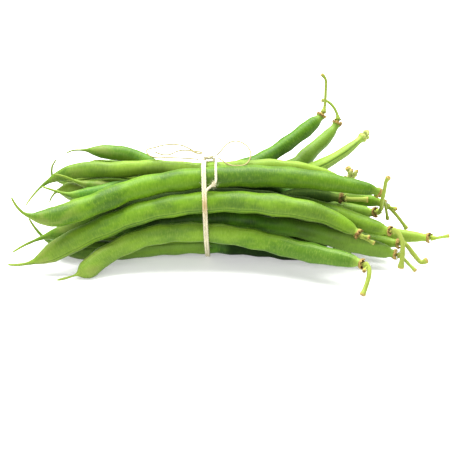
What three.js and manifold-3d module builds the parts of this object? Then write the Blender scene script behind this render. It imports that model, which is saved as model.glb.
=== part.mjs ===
// A bundle of fresh green beans, tied round the middle with thin white string.
//
// Units are millimetres and +Z is up. The beans lie along X, with their pointed beaks towards -X and
// their stalks towards +X, and the string goes round them near X = 0. Every bean is one closed solid:
// beak, pod with low swellings over the seeds, calyx collar and stalk.

import * as THREE from 'three';
import Module from 'manifold-3d';

const wasm = await Module();
wasm.setup();

// ---------------------------------------------------------------- driving dimensions

const POD_RADIUS = 4.2; // a full-grown pod, half its thickness
const SIDES = 8; // corners round a pod or a stalk
const SEEDS = 8; // seeds in a pod, each one a low swelling
const SEED_SWELL = 0.035; // how far a seed swells the pod, as a share of its radius
const OVAL = 0.04; // a pod is this much wider across its seams than between them

const BEAK_LENGTH = 22; // from the tip to where most pods have nearly their full thickness
const TIP_BACK = 0.4; // the first ring of a pod lies this far from its tip
const SEEDLESS_NECK = 13; // the last stretch of pod before the calyx has no seeds
const NECK_RINGS = [8, 3.5, 1.6]; // the rings of that stretch, as distances before the pod's end
const OVAL_FROM = 0.4; // a pod is oval where it is thicker than this share of its full radius
const CALYX_LENGTH = 4.4;
const CALYX_RADIUS = 2.3; // the room that the sepals take
const STALK_RADIUS = 0.85;
const STALK_KNOB = 1.4; // the thickened end, where it broke off the plant, is this much thicker
const STALK_RING_STEP = 3.2;

const STRING_RADIUS = 0.45;
const STRING_SIDES = 6;
const STRING_STEPS = 56; // steps round the bundle
const TURN_SPREAD = 0.6; // each of the two turns lies this far from the middle of the tie
const BOW_RADIUS = 0.3; // the bow is one ply of the string
const BOW_STEP = 1.5; // one step of the bow's tube, along it

const GAP = 0.3; // air between neighbouring pieces
const TIE_LIFT = 2.2; // the string passes under the beans, so they are this high at the tie
const TIE_ARCH = 22; // how far from the tie they come down again
const PRESS = 0.25; // a pod that lies on the surface is flattened this much
const MIN_HEIGHT = 0.3; // nothing thinner than this is laid on the surface
const SAMPLE_STEP = 3; // spacing of the points that are pushed apart, along a bean
const NEIGHBOURHOOD = 14; // stretches of bean further apart than this along X don't meet
const ROUNDS = 240; // rounds of pushing
const FIRM_ROUNDS = 0.3; // in this last share of the rounds a push spreads less far
const FREE_ROUNDS = 0.4; // in this last share of the rounds nothing pulls the beans back
const PUSH = 0.35; // how much of an overlap one push takes away
const SPREAD_GAIN = 1.6; // makes up for what a push loses by being spread
const PULL = 0.06; // how much of its drift a bean takes back in an early round

const BEAN_GREEN = 0x5f9a34;
const BEAN_LIGHT = 0x86b04a;
const BEAN_DEEP = 0x3c7a26;
const STRING_CREAM = 0xe9e2d2;

// ---------------------------------------------------------------- the beans

// Each bean has a girth, as a share of POD_RADIUS, and two hand-laid routes: the pod from its tip to
// its calyx, and the stalk from there on. roll turns its seams about its own length, in degrees.
// beak is given where its length isn't BEAK_LENGTH, blunt where the pod swells suddenly behind it, neck
// where its taper towards the calyx isn't drawn out by LONG_NECK, and stem where its stalk's radius
// isn't STALK_RADIUS.
const beans = [
  {
    name: 'bean_front_top', girth: 1, roll: 20, colour: BEAN_GREEN, neck: 2.4, stem: 0.55,
    pod: [[-72.5, -19, 31.6], [-69.4, -19.5, 26.2], [-65, -19.5, 23.8], [-56, -18, 23], [-45, -15, 25.5],
      [-27, -11, 31], [-1, -8, 34.3], [27, -7, 34.2], [41, -6, 32.4], [52, -5.3, 30.2], [63.3, -4.5, 26.9]],
    stalk: [[66, -1.4, 21.6], [67.4, 2.4, 15.4], [68.3, 4, 11.6]],
  },
  {
    name: 'bean_front_middle', girth: 1.04, roll: -50, colour: BEAN_GREEN, neck: 2, stem: 0.55,
    pod: [[-75, -17, 2.8], [-70, -18, 3.2], [-64, -18.5, 5], [-53.5, -17.5, 10.5], [-39.5, -15, 17],
      [-23, -13.5, 23], [-2, -13.4, 26.6], [18, -13.4, 26.6], [34, -14.6, 24.8], [45, -16, 22],
      [55.6, -17.8, 16.5]],
    stalk: [[58.3, -19.2, 15], [62.7, -20.4, 13]],
  },
  {
    name: 'bean_front_low', girth: 0.96, roll: -110, colour: BEAN_LIGHT,
    beak: 14, blunt: true, neck: 1.3,
    pod: [[-56, -27.5, 1.2], [-51.6, -25.7, 1.5], [-47, -23.1, 2.2], [-45.3, -22.1, 2.6],
      [-43.5, -21.1, 3.4], [-40, -19, 5.9], [-26, -14.6, 12], [-12, -13.5, 14.5], [0, -13.5, 14.5],
      [12, -14.7, 13.4], [25, -18, 12],
      [30.8, -20.2, 11.2], [42, -24.8, 10.5], [52.2, -29, 10.2], [56.3, -30.8, 9.9]],
    stalk: [[59.7, -33, 9.3], [60, -35.6, 7.6], [59.4, -37.6, 5.5], [58.3, -39.4, 3], [57.3, -41, 1.2]],
  },
  {
    name: 'bean_bottom_front', girth: 0.96, roll: 60, colour: BEAN_DEEP, beak: 24,
    pod: [[-67.5, 0, 14.5], [-64, -1.5, 9.5], [-59.5, -2.8, 6], [-50, -4.6, 3.8], [-38, -4.8, 3],
      [-20, -4.9, 4.8], [0, -4.9, 5.8], [20, -4.9, 4.8], [36, -4.6, 3], [46.3, -3.2, 3.2]],
    stalk: [[49.6, -1.8, 3], [55.4, 1.6, 2.4]],
  },
  {
    name: 'bean_top', girth: 0.78, roll: 75, colour: BEAN_GREEN, beak: 27, neck: 2,
    pod: [[-69, 5, 17], [-67, 5, 20], [-63, 5.5, 24.6], [-57.5, 6.2, 28.2], [-48.5, 6.5, 31],
      [-34, 5, 31.8], [-18, 3.2, 32.3], [-1, 2.6, 32.8], [16.7, 2.2, 34], [25, 2.3, 34.2], [32.5, 2.7, 33.5],
      [39, 3.4, 32.2], [46, 4.4, 29.8], [51.6, 5, 27.2]],
    stalk: [[54, 5.8, 28.3], [54.2, 6.2, 30.6], [52.9, 6, 32.8]],
  },
  {
    name: 'bean_raised_left', girth: 0.7, roll: 10, colour: BEAN_DEEP, beak: 17.5, neck: 0.5, stem: 0.55,
    pod: [[-54, 16, 34], [-52.1, 16, 35.1], [-49, 16, 35.5], [-45.2, 15.6, 35.6], [-41.2, 15, 35.4],
      [-36.6, 14.4, 35.3], [-30.4, 13.4, 34.9], [-25.6, 12.6, 33.6], [-22.6, 11.8, 31.9],
      [-19, 11, 30.4], [-12.2, 10.2, 29.7], [-1, 9.8, 29.6], [10, 11, 30], [16.5, 12.8, 31.2],
      [22.4, 16.2, 32.4], [27.4, 19.6, 34.3], [32.2, 22.6, 36.7], [37.5, 26, 39.6], [41.3, 28.6, 42],
      [43.2, 30, 43.3]],
    stalk: [[44.8, 31.5, 45.8], [45.2, 32.5, 48.7], [45.4, 34, 53], [45.3, 35.2, 57.1], [43.7, 35.6, 59.1]],
  },
  {
    name: 'bean_raised_middle', girth: 0.8, roll: -30, colour: BEAN_DEEP, neck: 1.5, stem: 0.55,
    pod: [[-46, 20, 28.5], [-43, 20, 29.5], [-33, 19, 29], [-18, 17.8, 26.6], [-1, 18, 24.8],
      [16, 18.8, 24], [26.4, 21.4, 24.2], [32.6, 24.4, 24.7], [36.5, 27.2, 26.3], [39.6, 29.8, 28.8],
      [44.1, 33.4, 31.5], [47.5, 36, 34.4], [49.6, 38, 36.7]],
    stalk: [[50.6, 39.4, 39], [49.8, 40.2, 41.4], [48.4, 41.2, 43.6], [46.5, 41.8, 45.1], [43.8, 42, 45.7]],
  },
  {
    name: 'bean_raised_right', girth: 0.8, roll: 40, colour: BEAN_LIGHT, neck: 3.2,
    pod: [[-57, 15, 32.5], [-59, 15, 29], [-58.6, 15, 24.5], [-53, 14.5, 22.6], [-44, 13, 23],
      [-21.5, 11, 23.2], [-1, 11, 22], [16, 11.8, 22.8], [29, 14.6, 23.6], [36, 18, 25],
      [44.2, 22, 27], [49.1, 24.8, 28.7], [54.1, 28, 30.9], [59, 32, 33.4]],
    stalk: [[60.8, 34, 34.2], [61.8, 38.8, 33.6]],
  },
  {
    name: 'bean_inner_top', girth: 0.8, roll: 0, colour: BEAN_GREEN,
    pod: [[-58, 0, 32.5], [-54.5, 0.5, 31.5], [-47, 1.5, 28], [-38, 2, 25.6], [-21.5, 2.4, 20],
      [-1, 2.8, 17], [20, 1.8, 20], [35.1, 0.5, 23.1], [42.2, 0, 23.1], [49.4, -0.6, 22.8]],
    stalk: [[53, -0.6, 22.4], [61, -1, 22.3]],
  },
  {
    name: 'bean_inner_front', girth: 0.88, roll: 35, colour: BEAN_DEEP, neck: 1.2, stem: 0.75,
    pod: [[-62, -7, 30.5], [-59, -7, 29.4], [-51.5, -7, 27], [-40.5, -6.6, 26.2], [-21.5, -0.2, 25.8],
      [-1, 3.5, 25.2], [20, 3, 22.8], [35.2, 2.6, 19.2], [42.7, 1.8, 17.6], [51.1, 1.6, 16.9],
      [63.2, 1.6, 16.6]],
    stalk: [[65.8, 0, 18], [65.9, -5, 23.2], [66.4, -7.6, 28.8], [67, -8.6, 33.5], [68, -9, 35.4]],
  },
  {
    name: 'bean_inner_back', girth: 0.9, roll: 15, colour: BEAN_GREEN, beak: 12, neck: 2, stem: 0.65,
    pod: [[-59.9, 5.4, 18.1], [-58.9, 5.6, 20.3], [-58.2, 6, 21.8], [-56.4, 6.8, 22.8], [-51.4, 8.2, 22.5],
      [-39, 9.6, 20.4], [-20, 15, 17], [-1, 18, 15.6], [20, 15, 16.6], [39, 10, 18.8],
      [52, 9, 18.6], [66.5, 7.8, 17.1]],
    stalk: [[69, 7.2, 15.8], [71, 6.6, 14], [73.6, 5.6, 10.9], [76.1, 4.6, 7.5]],
  },
  {
    name: 'bean_inner_low', girth: 0.92, roll: -20, colour: BEAN_GREEN, beak: 28, neck: 1.3, stem: 0.9,
    pod: [[-73.5, -9, 4], [-69, -9, 7], [-61, -8, 10.2], [-53, -7.8, 12.2], [-43.5, -7, 15.6],
      [-22, -5, 22], [-1, -4.4, 24.2], [20, -5, 24], [37, -7, 22.3], [51, -9, 18.6],
      [67.6, -12.8, 14.9]],
    stalk: [[70.8, -14.2, 15.2], [72.8, -16, 13.2], [73.2, -17.8, 9.4], [72.9, -18.9, 4.9],
      [72.5, -19.4, 2.2]],
  },
  {
    name: 'bean_low_front', girth: 0.94, roll: 90, colour: BEAN_DEEP, neck: 1.1, stem: 0.6,
    pod: [[-58, -1, 9.5], [-50, -2.6, 10.6], [-40, -3.5, 11.8], [-22, -4.4, 14.6], [-1, -5.4, 16.4],
      [16, -5.4, 16], [30, -5.6, 14], [44, -7.8, 11], [55, -10, 8.6], [69.8, -14.4, 6.1]],
    stalk: [[73.3, -15.4, 5.2], [75.6, -17.6, 3.4], [78.3, -20.2, 1.5]],
  },
  {
    name: 'bean_low_middle', girth: 0.9, roll: 45, colour: BEAN_GREEN, neck: 1.8,
    pod: [[-52, 7, 4], [-44.5, 6.4, 3.4], [-35, 5.4, 3], [-18, 4.8, 5], [-1, 4.8, 5.7], [20, 3.8, 5],
      [39, 1, 4.4], [52, -2.6, 6], [71.2, -7.6, 7.3]],
    stalk: [[74.9, -8.6, 7.3], [77.4, -9.8, 4.6], [80.2, -11.4, 1.6], [82, -12.2, 1.4], [83.2, -12, 2.6]],
  },
  {
    name: 'bean_low_back', girth: 0.88, roll: -60, colour: BEAN_GREEN, neck: 2.4, stem: 0.6,
    pod: [[-46.5, 12, 12], [-42, 11, 12.4], [-30, 10.6, 12.4], [-14, 10.2, 13.4], [-1, 10.2, 13.7],
      [18, 7.6, 12.4], [38, 4.4, 9.8], [55, 3.6, 7.6], [70, 2, 6.6], [83, -0.5, 6.5]],
    stalk: [[86, -1.2, 6.6], [92, -2, 8]],
  },
  {
    name: 'bean_back', girth: 0.96, roll: 30, colour: BEAN_DEEP,
    pod: [[-54, 21, 3.4], [-50, 20.4, 3], [-38, 18, 3], [-20, 14, 4.8], [-1, 13.2, 5.8],
      [18, 13.2, 4.8], [38, 14.6, 3], [54, 16, 3.4]],
    stalk: [[57, 16.4, 3.6], [63, 16.6, 2.6]],
  },
];

// Radius of the pod as shares of its full radius: over the distance from its tip, and over the
// distance back from its end.
const beakProfile = [
  [0, 0.07], [3.5, 0.12], [7.5, 0.17], [10.5, 0.27], [13.5, 0.52], [17.5, 0.8], [BEAK_LENGTH, 0.95],
];
const bluntProfile = [
  [0, 0.07], [5, 0.12], [10, 0.17], [13, 0.22], [15.2, 0.47], [17.5, 0.74], [BEAK_LENGTH, 0.93],
];
const beakOf = (bean) => (bean.blunt ? bluntProfile : beakProfile);
const neckProfile = [[0.5, 0.45], [2, 0.6], [5, 0.74], [10, 0.87], [16, 0.95], [22, 1]];
const LONG_NECK = 1.5; // most pods taper over a stretch this much longer than that

// The collar and stalk, as distances past the pod's end and radii in millimetres. lobes marks the
// ring whose corners stand out in turn as the calyx's short sepals.
const calyxProfile = [
  { at: -0.2, radius: 1.55 },
  { at: 0.4, radius: 1.95 },
  { at: 1.3, radius: 1.75 },
  { at: 2.2, radius: 2.15, lobes: 0.3 },
  { at: 3.2, radius: 1.35 },
];
const stalkEnd = [
  { before: 3, share: 1 },
  { before: 1.5, share: STALK_KNOB },
  { before: 0.3, share: 1.15 },
];

// Piecewise linear look-up in a list of [distance, value] pairs in rising order.
function lookUp(table, x) {
  if (x <= table[0][0]) return table[0][1];
  for (let i = 1; i < table.length; i += 1) {
    const [x0, y0] = table[i - 1];
    const [x1, y1] = table[i];
    if (x <= x1) return y0 + ((y1 - y0) * (x - x0)) / (x1 - x0);
  }
  return table[table.length - 1][1];
}

// ---------------------------------------------------------------- smooth routes

function smoothLine(points) {
  const vectors = points.map((p) => new THREE.Vector3(...p));
  return new THREE.CatmullRomCurve3(vectors, false, 'centripetal');
}

// A bean's route as evenly spaced points, and the place of the pod's end on it.
function sampleRoute(bean) {
  const curve = smoothLine([...bean.pod, ...bean.stalk]);
  curve.arcLengthDivisions = 600;
  const length = curve.getLength();
  const count = Math.round(length / SAMPLE_STEP);
  const points = curve.getSpacedPoints(count);
  const end = new THREE.Vector3(...bean.pod[bean.pod.length - 1]);
  let podEnd = 0;
  let nearest = Infinity;
  for (let i = 0; i <= 400; i += 1) {
    const distance = curve.getPointAt(i / 400).distanceTo(end);
    if (distance < nearest) {
      nearest = distance;
      podEnd = (i / 400) * length;
    }
  }
  return { points, length, podEnd };
}

// Radius of a bean at a distance s from its tip, without its seeds.
function plainRadius(bean, s, podEnd, length) {
  const full = POD_RADIUS * bean.girth;
  if (s <= podEnd) {
    const beak = lookUp(beakOf(bean), (s * BEAK_LENGTH) / (bean.beak ?? BEAK_LENGTH));
    const neck = lookUp(neckProfile, (podEnd - s) / (bean.neck ?? LONG_NECK));
    return full * Math.min(beak, neck);
  }
  if (s - podEnd < CALYX_LENGTH) return CALYX_RADIUS;
  const stem = bean.stem ?? STALK_RADIUS;
  return length - s < stalkEnd[0].before ? stem * STALK_KNOB : stem;
}

// ---------------------------------------------------------------- packing the bundle

const MARGIN = 1 + SEED_SWELL + OVAL; // a pod is nowhere thicker than this times its plain radius
const PACKED_GAP = GAP * 1.25; // a little more than the gap that is wanted, as flat faces stand off less

for (const bean of beans) {
  const route = sampleRoute(bean);
  bean.points = route.points;
  bean.length = route.length;
  bean.podEnd = route.podEnd;
  bean.radii = route.points.map((point, i) => {
    const s = (i / (route.points.length - 1)) * route.length;
    return plainRadius(bean, s, route.podEnd, route.length) * MARGIN;
  });
  bean.moves = route.points.map(() => new THREE.Vector3());
  bean.laid = route.points.map((point) => point.clone());
}

const away = new THREE.Vector3();
const span = new THREE.Vector3();
const nearestPoint = new THREE.Vector3();

// Pushes one point of bean a and the nearest stretch of bean b apart where they come too close.
function pushApart(a, i, b) {
  const point = a.points[i];
  let best = Infinity;
  let bestJ = 0;
  let bestT = 0;
  for (let j = 0; j < b.points.length - 1; j += 1) {
    const start = b.points[j];
    if (Math.abs(start.x - point.x) > NEIGHBOURHOOD) continue;
    span.subVectors(b.points[j + 1], start);
    const t = THREE.MathUtils.clamp(
      away.subVectors(point, start).dot(span) / span.lengthSq(), 0, 1);
    nearestPoint.copy(start).addScaledVector(span, t);
    const distance = nearestPoint.distanceTo(point);
    if (distance < best) {
      best = distance;
      bestJ = j;
      bestT = t;
    }
  }
  const radius = THREE.MathUtils.lerp(b.radii[bestJ], b.radii[bestJ + 1], bestT);
  const overlap = a.radii[i] + radius + PACKED_GAP - best;
  if (overlap <= 0) return;
  nearestPoint.lerpVectors(b.points[bestJ], b.points[bestJ + 1], bestT);
  away.subVectors(point, nearestPoint).normalize().multiplyScalar(overlap * PUSH);
  a.moves[i].add(away);
  b.moves[bestJ].addScaledVector(away, -(1 - bestT));
  b.moves[bestJ + 1].addScaledVector(away, -bestT);
}

// A bean is stiff, so a push at one place moves its neighbourhood: reach is in samples.
function spreadMoves(bean, reach) {
  const spread = bean.moves.map((_, i) => {
    const sum = new THREE.Vector3();
    let weight = 0;
    for (let k = -reach; k <= reach; k += 1) {
      const j = THREE.MathUtils.clamp(i + k, 0, bean.moves.length - 1);
      const w = 1 - Math.abs(k) / (reach + 1);
      sum.addScaledVector(bean.moves[j], w);
      weight += w;
    }
    return sum.multiplyScalar(SPREAD_GAIN / weight);
  });
  spread.forEach((move, i) => {
    bean.points[i].add(move);
    bean.moves[i].set(0, 0, 0);
  });
}

// The lowest that the middle of a bean may be: on the surface, or on the string at the tie. A pod has
// one of its flat sides down.
function floorHeight(x, radius) {
  const lift = TIE_LIFT * Math.max(0, 1 - (x / TIE_ARCH) ** 2);
  return Math.max(MIN_HEIGHT, (radius / MARGIN) * Math.cos(Math.PI / SIDES) - PRESS + lift);
}

for (let round = 0; round < ROUNDS; round += 1) {
  const reach = round < ROUNDS * (1 - FIRM_ROUNDS) ? 4 : 2;
  for (let a = 0; a < beans.length; a += 1) {
    for (let b = 0; b < beans.length; b += 1) {
      if (a === b) continue;
      for (let i = 0; i < beans[a].points.length; i += 1) pushApart(beans[a], i, beans[b]);
    }
  }
  const pull = PULL * Math.max(0, 1 - round / (ROUNDS * (1 - FREE_ROUNDS)));
  for (const bean of beans) {
    spreadMoves(bean, reach);
    bean.points.forEach((point, i) => {
      point.lerp(bean.laid[i], pull);
      point.z = Math.max(point.z, floorHeight(point.x, bean.radii[i]));
    });
  }
}

// ---------------------------------------------------------------- sweeping a solid

// A closed solid through rings of points, closed at both ends by one pole each.
function ringSolid(rings, firstPole, lastPole) {
  const sides = rings[0].length;
  const positions = [];
  for (const ring of rings) for (const point of ring) positions.push(point.x, point.y, point.z);
  const first = rings.length * sides;
  positions.push(firstPole.x, firstPole.y, firstPole.z, lastPole.x, lastPole.y, lastPole.z);
  const index = [];
  for (let r = 0; r < rings.length - 1; r += 1) {
    for (let k = 0; k < sides; k += 1) {
      const next = (k + 1) % sides;
      const a = r * sides + k;
      const b = r * sides + next;
      const c = (r + 1) * sides + next;
      const d = (r + 1) * sides + k;
      index.push(a, c, b, a, d, c);
    }
  }
  const last = (rings.length - 1) * sides;
  for (let k = 0; k < sides; k += 1) {
    const next = (k + 1) % sides;
    index.push(first, k, next);
    index.push(first + 1, last + next, last + k);
  }
  const geometry = new THREE.BufferGeometry();
  geometry.setAttribute('position', new THREE.Float32BufferAttribute(positions, 3));
  geometry.setIndex(index);
  return geometry;
}

// The distances along a bean at which it has a ring, with the ring's radius and sepal lobes.
function ringPlan(bean) {
  const { podEnd, length } = bean;
  const full = POD_RADIUS * bean.girth;
  const firstSeed = bean.beak ?? BEAK_LENGTH;
  const beakRings = beakOf(bean).slice(0, -1);
  const plan = beakRings.map(([at]) => ({ at: (at * firstSeed) / BEAK_LENGTH + TIP_BACK }));
  const lastSeed = podEnd - SEEDLESS_NECK;
  for (let i = 0; i <= SEEDS * 2; i += 1) {
    plan.push({ at: firstSeed + ((lastSeed - firstSeed) * i) / (SEEDS * 2), seed: i % 2 });
  }
  for (const back of NECK_RINGS) plan.push({ at: podEnd - back });
  for (const ring of plan) {
    const swell = ring.seed === undefined ? 0 : (ring.seed * 2 - 1) * SEED_SWELL;
    ring.radius = plainRadius(bean, ring.at, podEnd, length) * (1 + swell);
    ring.oval = ring.radius > full * OVAL_FROM ? OVAL : 0;
  }
  for (const { at, radius, lobes } of calyxProfile) plan.push({ at: podEnd + at, radius, lobes });
  const stem = bean.stem ?? STALK_RADIUS;
  const stalkFrom = podEnd + CALYX_LENGTH;
  const stalkTo = length - stalkEnd[0].before;
  const steps = Math.max(1, Math.round((stalkTo - stalkFrom) / STALK_RING_STEP));
  for (let i = 0; i < steps; i += 1) {
    plan.push({ at: stalkFrom + ((stalkTo - stalkFrom) * i) / steps, radius: stem });
  }
  for (const { before, share } of stalkEnd) plan.push({ at: length - before, radius: stem * share });
  return plan;
}

// The rings' frames turn with the route and not about it, starting level in the middle of the pod.
function beanGeometry(bean) {
  const curve = new THREE.CatmullRomCurve3(bean.points, false, 'centripetal');
  curve.arcLengthDivisions = 800;
  const newLength = curve.getLength();
  const stretch = newLength / bean.length;
  const plan = ringPlan(bean);
  const places = plan.map(({ at }) => {
    const u = (at * stretch) / newLength;
    return { centre: curve.getPointAt(u), ahead: curve.getTangentAt(u) };
  });
  const middle = Math.floor(plan.length / 2);
  const up = new THREE.Vector3(0, 0, 1);
  const side = new THREE.Vector3().crossVectors(places[middle].ahead, up).normalize();
  places[middle].side = side;
  const carry = (from, to) => {
    const turn = new THREE.Quaternion().setFromUnitVectors(places[from].ahead, places[to].ahead);
    places[to].side = places[from].side.clone().applyQuaternion(turn);
  };
  for (let i = middle; i < places.length - 1; i += 1) carry(i, i + 1);
  for (let i = middle; i > 0; i -= 1) carry(i, i - 1);
  const roll = THREE.MathUtils.degToRad(bean.roll);
  const rings = plan.map((ring, i) => {
    const { centre, ahead, side: across } = places[i];
    const over = new THREE.Vector3().crossVectors(across, ahead).normalize();
    return Array.from({ length: SIDES }, (_, k) => {
      const angle = ((k + 0.5) / SIDES) * Math.PI * 2;
      const oval = 1 + (ring.oval ?? 0) * Math.cos(2 * (angle - roll));
      const lobe = 1 + (ring.lobes ?? 0) * (k % 2 ? 1 : -0.5);
      const radius = ring.radius * oval * lobe;
      const point = centre.clone()
        .addScaledVector(across, -radius * Math.cos(angle))
        .addScaledVector(over, -radius * Math.sin(angle));
      point.z = Math.max(point.z, 0);
      return point;
    });
  });
  return ringSolid(rings, curve.getPointAt(0), curve.getPointAt(1));
}

// ---------------------------------------------------------------- the string round the bundle

// The tie leans a little: its x at a height z.
const tieX = (z) => 0.2 - 0.045 * z;

// Corners of the tightest outline round a set of flat points, in order.
function hull(points) {
  const sorted = [...points].sort((p, q) => p[0] - q[0] || p[1] - q[1]);
  const turnsRight = (a, b, c) =>
    (b[0] - a[0]) * (c[1] - a[1]) - (b[1] - a[1]) * (c[0] - a[0]) <= 0;
  const chain = (list) => {
    const out = [];
    for (const point of list) {
      while (out.length > 1 && turnsRight(out[out.length - 2], out[out.length - 1], point)) out.pop();
      out.push(point);
    }
    out.pop();
    return out;
  };
  return [...chain(sorted), ...chain([...sorted].reverse())];
}

// The outline that a taut string follows round the beans, as points spaced evenly.
function tautOutline() {
  const spots = [];
  const clear = GAP * 1.2 + STRING_RADIUS;
  const slice = SAMPLE_STEP * 1.3;
  const spotsRound = 40;
  for (const bean of beans) {
    for (let i = 0; i < bean.points.length; i += 1) {
      const { x, y, z } = bean.points[i];
      if (Math.abs(x - tieX(z)) > slice) continue;
      const reach = bean.radii[i] + clear;
      for (let k = 0; k < spotsRound; k += 1) {
        const angle = (k / spotsRound) * Math.PI * 2;
        spots.push([y + reach * Math.cos(angle), z + reach * Math.sin(angle)]);
      }
    }
  }
  const corners = hull(spots).map(([y, z]) => new THREE.Vector3(0, y, z));
  const loop = new THREE.CurvePath();
  corners.forEach((corner, i) => {
    loop.add(new THREE.LineCurve3(corner, corners[(i + 1) % corners.length]));
  });
  return loop.getSpacedPoints(STRING_STEPS).slice(0, STRING_STEPS);
}

// A closed ring of string through centre points, as a solid for joining.
function stringTurn(centres) {
  const count = centres.length;
  const positions = [];
  const index = [];
  const sides = STRING_SIDES;
  for (let i = 0; i < count; i += 1) {
    const ahead = new THREE.Vector3()
      .subVectors(centres[(i + 1) % count], centres[(i + count - 1) % count]).normalize();
    const across = new THREE.Vector3(1, 0, 0).addScaledVector(ahead, -ahead.x).normalize();
    const out = new THREE.Vector3().crossVectors(ahead, across);
    for (let k = 0; k < sides; k += 1) {
      const angle = (k / sides) * Math.PI * 2;
      const point = centres[i].clone()
        .addScaledVector(across, STRING_RADIUS * Math.cos(angle))
        .addScaledVector(out, STRING_RADIUS * Math.sin(angle));
      positions.push(point.x, point.y, point.z);
      const next = (i + 1) % count;
      const a = i * sides + k;
      const b = i * sides + ((k + 1) % sides);
      const c = next * sides + ((k + 1) % sides);
      const d = next * sides + k;
      index.push(a, b, c, a, c, d);
    }
  }
  return solid(positions, index);
}

function solid(positions, index) {
  return new wasm.Manifold(new wasm.Mesh({
    numProp: 3,
    vertProperties: new Float32Array(positions),
    triVerts: new Uint32Array(index),
  }));
}

// A lump of the knot: a small ball, stretched.
function lump(centre, radii) {
  const ball = new THREE.SphereGeometry(1, 8, 6);
  const unique = [];
  const index = [];
  const seen = new Map();
  const position = ball.getAttribute('position');
  const own = [];
  for (let i = 0; i < position.count; i += 1) {
    const key = [0, 1, 2].map((c) => Math.round(position.getComponent(i, c) * 1e4)).join();
    if (!seen.has(key)) {
      seen.set(key, unique.length / 3);
      unique.push(
        centre.x + radii[0] * position.getX(i),
        centre.y + radii[1] * position.getY(i),
        centre.z + radii[2] * position.getZ(i));
    }
    own.push(seen.get(key));
  }
  const faces = ball.getIndex().array;
  for (let i = 0; i < faces.length; i += 3) {
    const [a, b, c] = [own[faces[i]], own[faces[i + 1]], own[faces[i + 2]]];
    if (a !== b && b !== c && a !== c) index.push(a, b, c);
  }
  return solid(unique, index);
}

function meshFromSolid(body) {
  const { vertProperties, triVerts } = body.getMesh();
  const geometry = new THREE.BufferGeometry();
  geometry.setAttribute('position', new THREE.BufferAttribute(vertProperties, 3));
  geometry.setIndex(new THREE.BufferAttribute(triVerts, 1));
  return geometry;
}

const TOP_KNOT_Y = 3.5; // the knot lies just behind the crest, on both turns
const TOP_KNOT_SIZE = [3.3, 1.3, 1.25];
const TOP_KNOT_OFFSET = new THREE.Vector3(0.3, 0, 0.75);
const FRONT_KNOT_Y = -13.8; // the frayed knot on the second turn
const FRONT_KNOT_SIZE = [0.9, 0.85, 1.25];
const FRONT_KNOT_OFFSET = new THREE.Vector3(0, -0.35, 0.25);
const WANDER = 4.1; // how far the second turn strays from the first, over the front and the top
const WANDER_ABOVE = 26; // and the height above which it does
const TOP_HALF = 30; // a height between the two places where the string passes a given y

const outline = tautOutline();
const strays = (y) => (
  THREE.MathUtils.smoothstep(y, -15.7, -12.5) * (1 - THREE.MathUtils.smoothstep(y, 4, 12)));
const turns = [-1, 1].map((which) => outline.map(({ y, z }) => {
  const stray = which > 0 && z > WANDER_ABOVE ? WANDER * strays(y) : 0;
  return new THREE.Vector3(tieX(z) + which * TURN_SPREAD + stray, y, z);
}));
const passing = (turn, y) => {
  const i = turn.findIndex((point, j) => (
    point.z > TOP_HALF && (point.y - y) * (turn[(j + 1) % turn.length].y - y) <= 0));
  const next = turn[(i + 1) % turn.length];
  return turn[i].clone().lerp(next, (y - turn[i].y) / (next.y - turn[i].y));
};
const topKnot = passing(turns[0], TOP_KNOT_Y).lerp(passing(turns[1], TOP_KNOT_Y), 0.5)
  .add(TOP_KNOT_OFFSET);
const frontKnot = passing(turns[1], FRONT_KNOT_Y).add(FRONT_KNOT_OFFSET);
const tie = turns.map(stringTurn).reduce((a, b) => a.add(b))
  .add(lump(topKnot, TOP_KNOT_SIZE))
  .add(lump(frontKnot, FRONT_KNOT_SIZE));

// ---------------------------------------------------------------- the bow's free string

// Routes as offsets from the knot on top of the bundle. The left piece is the bow's left ear and then
// its short tail, the right piece is the right ear, back to the knot.
const bowRoutes = {
  bow_left: [[-4.1, -2.4, 0.3], [-7.3, -2.1, 0.5], [-11.8, -1.5, 0.5], [-16, -0.9, 0.4], [-19.4, -0.4, 0.1],
    [-21.8, 1, 0.1], [-23.3, 2.9, 0.5], [-23.7, 4.7, 0.9], [-22.7, 6, 1.1], [-20.7, 6.2, 1.5],
    [-18.6, 5.9, 2.3], [-15.9, 5.5, 3], [-12.9, 4.9, 3.3], [-10, 4.3, 3.1], [-7.5, 3.8, 2.1],
    [-5.6, 3.5, 1.1], [-4.2, 3.4, 1], [-2.9, 2.7, 1.1], [-2.6, 1.5, 1.3], [-3.4, 0.4, 1.5],
    [-4.9, 0.2, 1.8], [-6.6, 0.6, 2.4], [-8.5, 1.1, 2.5], [-10.6, 1.5, 2.3], [-12.5, 1.6, 1.7],
    [-13.9, 1.5, 1], [-15.7, 1.3, 0.6], [-17.4, 1.4, 0.6], [-19.1, 1.7, 1], [-20.6, 2, 1.6]],
  bow_right: [[3.2, 0.9, 0.9], [4.6, 1.5, 2.4], [6.2, 2.5, 3.9], [7.8, 2.9, 5], [9.7, 2.7, 5.6],
    [12, 2.1, 5.4], [14.2, 0.9, 4.3], [15.5, -0.9, 2.8], [15.5, -2.9, 1.4], [14.6, -4.7, 0.1],
    [13, -5.9, -0.6], [10.9, -6.4, -0.6], [8.8, -6.3, -0.6], [6.7, -5.7, -0.1], [4.9, -4.5, 0.7],
    [3.6, -2.9, 0.9]],
};

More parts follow.
